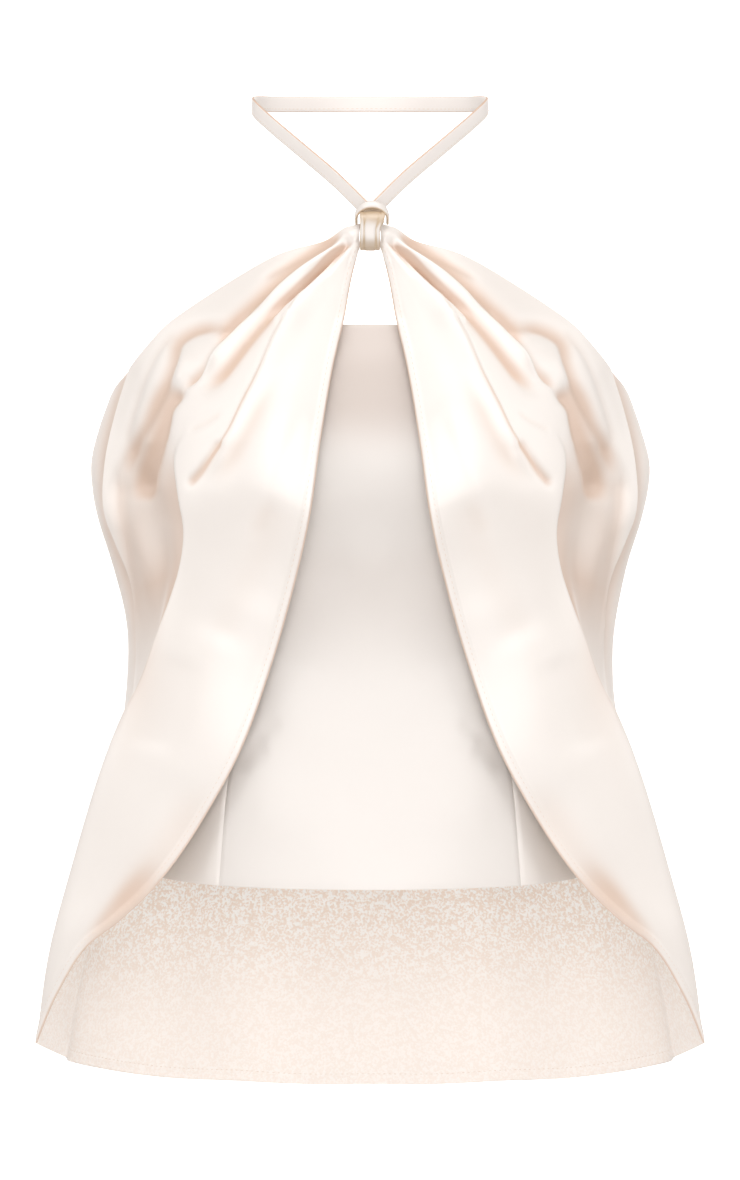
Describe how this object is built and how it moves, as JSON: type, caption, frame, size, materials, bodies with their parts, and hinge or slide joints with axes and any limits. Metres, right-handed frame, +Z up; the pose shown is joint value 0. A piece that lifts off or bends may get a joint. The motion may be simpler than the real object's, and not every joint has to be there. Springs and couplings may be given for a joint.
{
  "type": "satin halter neck top",
  "caption": "Satin halter neck top: plain tube bodice under two draped front panels gathered at a neck knot, long rounded back.",
  "frame": {"origin": "centre of the inner face of the neck strap at the nape, where the wearer's neck holds the top up", "axes": "+Z up, -Y towards the garment's front, X across it; the halves mirror each other in X"},
  "size_m": [0.3528, 0.2601, 0.5452],
  "materials": {
    "satin": "champagne satin with a soft sheen outside and a matt grainy wrong side",
    "bodice_satin": "champagne satin, smooth and close fitting",
    "strap_satin": "folded and edge-stitched champagne satin"
  },
  "bodies": {
    "root": {"front_left": "satin", "front_right": "satin", "back_panel": "satin", "bodice_front": "bodice_satin", "bodice_side_left": "bodice_satin", "bodice_side_right": "bodice_satin", "bodice_back": "bodice_satin", "neck_strap": "strap_satin", "arch_loop": "strap_satin", "centre_tab": "strap_satin"}
  },
  "joints": []
}
